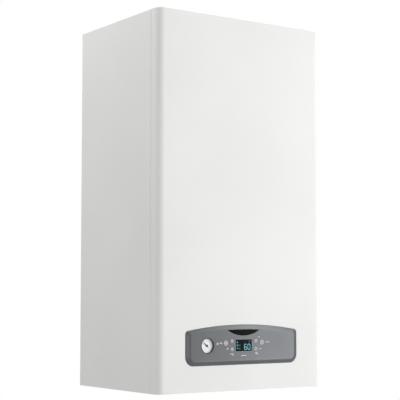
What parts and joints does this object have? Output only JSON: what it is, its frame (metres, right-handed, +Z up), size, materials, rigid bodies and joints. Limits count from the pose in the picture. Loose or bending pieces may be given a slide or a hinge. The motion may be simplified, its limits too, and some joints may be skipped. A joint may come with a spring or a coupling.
{
  "type": "wall-hung gas boiler",
  "caption": "Wall-hung gas boiler: white rounded casing that pulls off, grey tilting control panel with gauge, display and buttons, combustion and water parts inside.",
  "frame": {"origin": "middle of the wall bracket's two bolt holes, on the wall plane", "axes": "+Z up, +Y into the wall, +X to the right of someone facing the boiler"},
  "size_m": [0.4, 0.3078, 0.77],
  "materials": {
    "white_coat": "powder coat, satin",
    "galvanised": "galvanised sheet",
    "stainless": "satin stainless steel",
    "panel_grey": "fine textured moulding",
    "box_black": "textured moulding",
    "button_grey": "satin moulding",
    "dial_white": "printed disc",
    "lens_clear": "clear",
    "display_black": "smoked window",
    "inlay_black": "polished",
    "board_green": "coated board",
    "seal_foam": "foam strip",
    "cast_aluminium": "as cast",
    "motor_dark": "painted can",
    "flue_white": "moulding",
    "ceramic": "glazed ceramic",
    "copper": "drawn tube",
    "brass": "machined brass",
    "drain_grey": "moulding",
    "vessel_red": "painted",
    "knob_red": "moulding",
    "knob_blue": "moulding"
  },
  "bodies": {
    "boiler_body": {"wall_bracket": "galvanised", "rear_frame": "galvanised", "right_side_panel": "white_coat", "left_side_panel": "white_coat", "top_plate": "white_coat", "bottom_plate": "galvanised", "casing_seal": "seal_foam", "flue_collar": "flue_white", "air_plug": "flue_white", "flue_pipe": "flue_white", "exchanger_crossmember": "galvanised", "heat_exchanger": "stainless", "burner_door": "cast_aluminium", "ignition_electrode": "ceramic", "mixing_duct": "cast_aluminium", "fan_housing": "cast_aluminium", "fan_motor": "motor_dark", "venturi": "cast_aluminium", "gas_valve": "cast_aluminium", "gas_pipe": "copper", "gas_feed_pipe": "copper", "condensate_trap": "drain_grey", "condensate_hose": "drain_grey", "expansion_vessel": "vessel_red", "vessel_hose": "copper", "flow_group": "brass", "return_group": "brass", "plate_heat_exchanger": "stainless", "diverter_motor": "box_black", "pump_volute": "box_black", "pump_motor": "cast_aluminium", "air_vent": "brass", "flow_pipe": "copper", "return_pipe": "copper", "safety_valve": "brass", "filling_tap": "brass", "heating_stubs": "brass", "water_stubs": "brass", "gas_stub": "brass"},
    "front_casing": {"front_casing": "white_coat", "casing_ends": "white_coat", "casing_screws": "galvanised"},
    "control_box": {"control_box": "box_black", "control_fascia": "panel_grey", "display_window": "display_black", "control_board": "board_green", "badge_insert": "inlay_black", "gauge_case": "box_black", "gauge_dial": "dial_white", "gauge_lens": "lens_clear"},
    "button_left_large": {"button_left_large": "button_grey"},
    "button_left_upper": {"button_left_upper": "button_grey"},
    "button_left_lower": {"button_left_lower": "button_grey"},
    "button_right_large": {"button_right_large": "button_grey"},
    "button_right_upper": {"button_right_upper": "button_grey"},
    "button_right_lower": {"button_right_lower": "button_grey"},
    "gauge_needle": {"gauge_needle": "box_black"},
    "fan_impeller": {"fan_impeller": "cast_aluminium"},
    "safety_valve_knob": {"safety_valve_knob": "knob_red"},
    "filling_tap_knob": {"filling_tap_knob": "knob_blue"}
  },
  "joints": [
    {"name": "casing_slide", "type": "slide", "parent": "boiler_body", "child": "front_casing", "axis": [0, -1, 0], "range_m": [0, 0.4]},
    {"name": "control_box_tilt", "type": "hinge", "parent": "boiler_body", "child": "control_box", "pos_m": [0, -0.288, -0.634], "axis": [1, 0, 0], "range_deg": [0, 90]},
    {"name": "button_left_large_press", "type": "slide", "parent": "control_box", "child": "button_left_large", "axis": [0, 1, 0], "range_m": [0, 0.0012], "stiffness_N_per_m": 500},
    {"name": "button_left_upper_press", "type": "slide", "parent": "control_box", "child": "button_left_upper", "axis": [0, 1, 0], "range_m": [0, 0.0012], "stiffness_N_per_m": 500},
    {"name": "button_left_lower_press", "type": "slide", "parent": "control_box", "child": "button_left_lower", "axis": [0, 1, 0], "range_m": [0, 0.0012], "stiffness_N_per_m": 500},
    {"name": "button_right_large_press", "type": "slide", "parent": "control_box", "child": "button_right_large", "axis": [0, 1, 0], "range_m": [0, 0.0012], "stiffness_N_per_m": 500},
    {"name": "button_right_upper_press", "type": "slide", "parent": "control_box", "child": "button_right_upper", "axis": [0, 1, 0], "range_m": [0, 0.0012], "stiffness_N_per_m": 500},
    {"name": "button_right_lower_press", "type": "slide", "parent": "control_box", "child": "button_right_lower", "axis": [0, 1, 0], "range_m": [0, 0.0012], "stiffness_N_per_m": 500},
    {"name": "gauge_needle_turn", "type": "hinge", "parent": "control_box", "child": "gauge_needle", "pos_m": [-0.0872, -0.3031, -0.6002], "axis": [0, -1, 0], "range_deg": [-183, 87], "stiffness_Nm_per_rad": 0.0001},
    {"name": "fan_spin", "type": "hinge", "parent": "boiler_body", "child": "fan_impeller", "pos_m": [0.042, -0.232, -0.078], "axis": [0, -1, 0], "continuous": true},
    {"name": "safety_valve_turn", "type": "hinge", "parent": "boiler_body", "child": "safety_valve_knob", "pos_m": [0.067, -0.13, -0.54], "axis": [0, 0, 1], "range_deg": [0, 90]},
    {"name": "filling_tap_turn", "type": "hinge", "parent": "boiler_body", "child": "filling_tap_knob", "pos_m": [-0.0335, -0.13, -0.66], "axis": [0, 0, -1], "range_deg": [0, 360]}
  ],
  "couplings": [
    {"joint": "control_box_tilt", "follows": "casing_slide", "rad_per_m": 3.9269}
  ]
}
